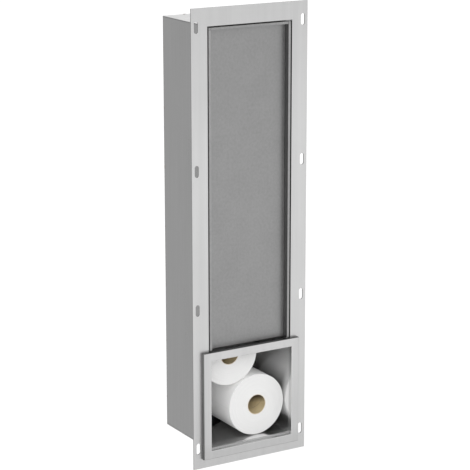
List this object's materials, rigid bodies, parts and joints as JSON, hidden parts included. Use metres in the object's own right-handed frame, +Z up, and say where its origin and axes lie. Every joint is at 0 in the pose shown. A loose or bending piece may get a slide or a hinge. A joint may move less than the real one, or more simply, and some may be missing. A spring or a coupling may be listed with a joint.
{
  "type": "recessed toilet roll container",
  "caption": "Tall wall-recessed stainless box for toilet rolls, with a hinged tile-tray door over the shaft and an open square niche with a raised trim frame at the bottom.",
  "frame": {"origin": "on the wall plane (the mounting flange's back face), on the centre line, at the middle of the bottom flange strip, 16 mm above the flange's lower edge", "axes": "+X to the right as seen from the room, +Y into the wall, +Z up"},
  "size_m": [0.227, 0.1575, 0.8],
  "materials": {
    "brushed_stainless": "satin stainless with a fine upright grain",
    "stainless_sheet": "matt mill-finish stainless sheet",
    "door_sheet": "dull grey sheet, faintly mottled",
    "bright_steel": "bright zinc or stainless",
    "nylon": "grey moulded nylon",
    "rubber": "soft dark rubber",
    "tissue": "white soft tissue, finely embossed",
    "cardboard": "spiral-wound brown cardboard"
  },
  "bodies": {
    "housing": {"mounting_flange": "brushed_stainless", "niche_frame": "brushed_stainless", "side_panel_left": "stainless_sheet", "side_panel_right": "stainless_sheet", "back_panel": "stainless_sheet", "top_panel": "stainless_sheet", "bottom_panel": "stainless_sheet", "divider_rail": "stainless_sheet", "door_stop_lower": "stainless_sheet", "door_stop_upper": "stainless_sheet", "door_bumper_lower": "rubber", "door_bumper_upper": "rubber", "frame_nut_left_lower": "bright_steel", "frame_nut_left_upper": "bright_steel", "frame_nut_right_lower": "bright_steel", "frame_nut_right_upper": "bright_steel", "upper_pivot_bracket": "bright_steel", "upper_pivot_washer": "nylon", "lower_pivot_pin": "bright_steel", "lower_pivot_washer": "nylon", "pivot_rivet_front": "bright_steel", "pivot_rivet_rear": "bright_steel", "latch_rivet_left": "bright_steel", "latch_rivet_right": "bright_steel", "latch_housing": "nylon", "latch_spring": "bright_steel"},
    "door": {"door_panel": "door_sheet", "door_stile_left": "door_sheet", "door_stile_right": "door_sheet", "door_top_rail": "door_sheet", "strike_plate": "bright_steel"},
    "plunger": {"latch_plunger": "nylon", "latch_magnet": "bright_steel"},
    "lower_roll": {"lower_roll_paper": "tissue", "lower_roll_core": "cardboard"},
    "upper_roll": {"upper_roll_paper": "tissue", "upper_roll_core": "cardboard"}
  },
  "joints": [
    {"name": "door_hinge", "type": "hinge", "parent": "housing", "child": "door", "pos_m": [0.07785, 0.0014, 0.4724], "axis": [0, 0, 1], "range_deg": [0, 100]},
    {"name": "latch_press", "type": "slide", "parent": "housing", "child": "plunger", "axis": [0, 1, 0], "range_m": [0, 0.003], "stiffness_N_per_m": 300, "springref_m": -0.003, "deforming": ["latch_spring"]},
    {"name": "lower_roll_pull", "type": "slide", "parent": "housing", "child": "lower_roll", "axis": [0, -1, 0], "range_m": [0, 0.2]},
    {"name": "upper_roll_lift", "type": "slide", "parent": "housing", "child": "upper_roll", "axis": [0, 0, 1], "range_m": [0, 0.4]}
  ]
}
